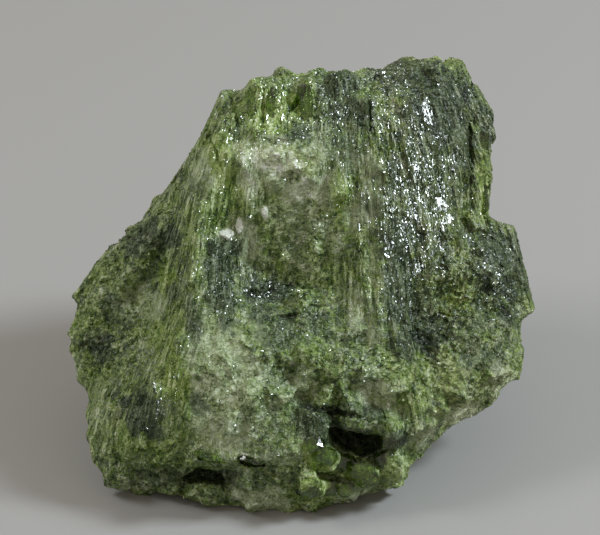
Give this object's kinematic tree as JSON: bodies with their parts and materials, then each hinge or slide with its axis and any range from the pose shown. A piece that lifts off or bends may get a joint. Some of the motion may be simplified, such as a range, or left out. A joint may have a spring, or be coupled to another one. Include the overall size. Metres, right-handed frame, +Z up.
{
  "type": "diopside crystal specimen",
  "caption": "Rough green diopside specimen: columnar crystals fanning down a leaning front face, granular shoulders, and a small crystal-lined pocket near the foot.",
  "frame": {"origin": "on the flat resting face's plane, below the middle of the bounding box", "axes": "+Z up, -Y towards the broad columnar front face, +X to the right as the front is seen"},
  "size_m": [0.0476, 0.0398, 0.0387],
  "materials": {
    "diopside": "rough broken crystal faces with small glints; deep to bright green, paler where crushed"
  },
  "bodies": {
    "root": {"diopside": "diopside"}
  },
  "joints": []
}
